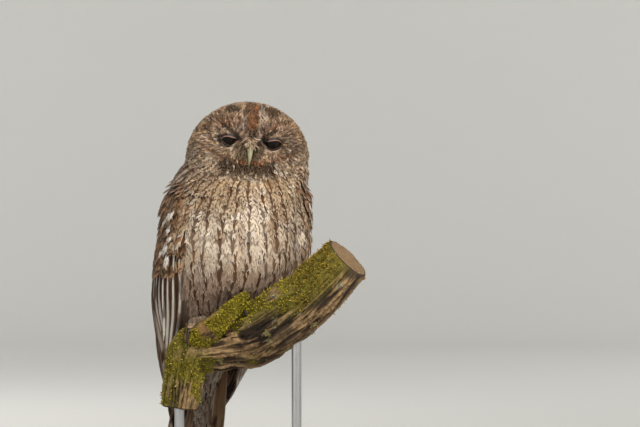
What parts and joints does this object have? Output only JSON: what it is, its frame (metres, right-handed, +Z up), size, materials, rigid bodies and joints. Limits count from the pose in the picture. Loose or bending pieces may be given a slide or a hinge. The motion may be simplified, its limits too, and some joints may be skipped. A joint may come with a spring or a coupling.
{
  "type": "tawny owl",
  "caption": "Tawny owl dozing upright on a short mossy limb, wings folded and tail hanging, as a still life-size model over a plain rounded base with steel rods.",
  "frame": {"origin": "middle of the underside of the display base", "axes": "+Z up, the owl faces -Y with its body turned a little to +X, and +X is on the right of someone who looks at its face"},
  "size_m": [0.242, 0.1909, 0.3905],
  "materials": {
    "plumage": "soft buff and white feathers with dark brown streaks and bars",
    "face_plumage": "fine grey-brown feathers, pale brows and a rufous crown stripe",
    "wing_plumage": "rufous-brown barred feathers with white spots",
    "toe_plumage": "short pale feathers on the legs and toes",
    "eye": "glossy black-brown",
    "bill": "pale yellowish horn, satin",
    "claw": "dark horn, satin",
    "perch_wood": "weathered bark and wood with yellow-green moss",
    "stand_wood": "dark stained wood, satin lacquer",
    "stand_steel": "brushed steel"
  },
  "bodies": {
    "root": {"head": "face_plumage", "neck": "plumage", "trunk": "plumage", "eye_right": "eye", "eye_left": "eye", "bill_upper": "bill", "bill_lower": "bill", "tail": "wing_plumage", "wing_right": "wing_plumage", "wing_left": "wing_plumage", "leg_right": "toe_plumage", "leg_left": "toe_plumage", "foot_right": "toe_plumage", "foot_left": "toe_plumage", "claw_right_inner": "claw", "claw_right_middle": "claw", "claw_right_outer": "claw", "claw_right_hind": "claw", "claw_left_inner": "claw", "claw_left_middle": "claw", "claw_left_outer": "claw", "claw_left_hind": "claw", "perch": "perch_wood", "stand_base": "stand_wood", "stand_rod_left": "stand_steel", "stand_rod_right": "stand_steel"}
  },
  "joints": []
}
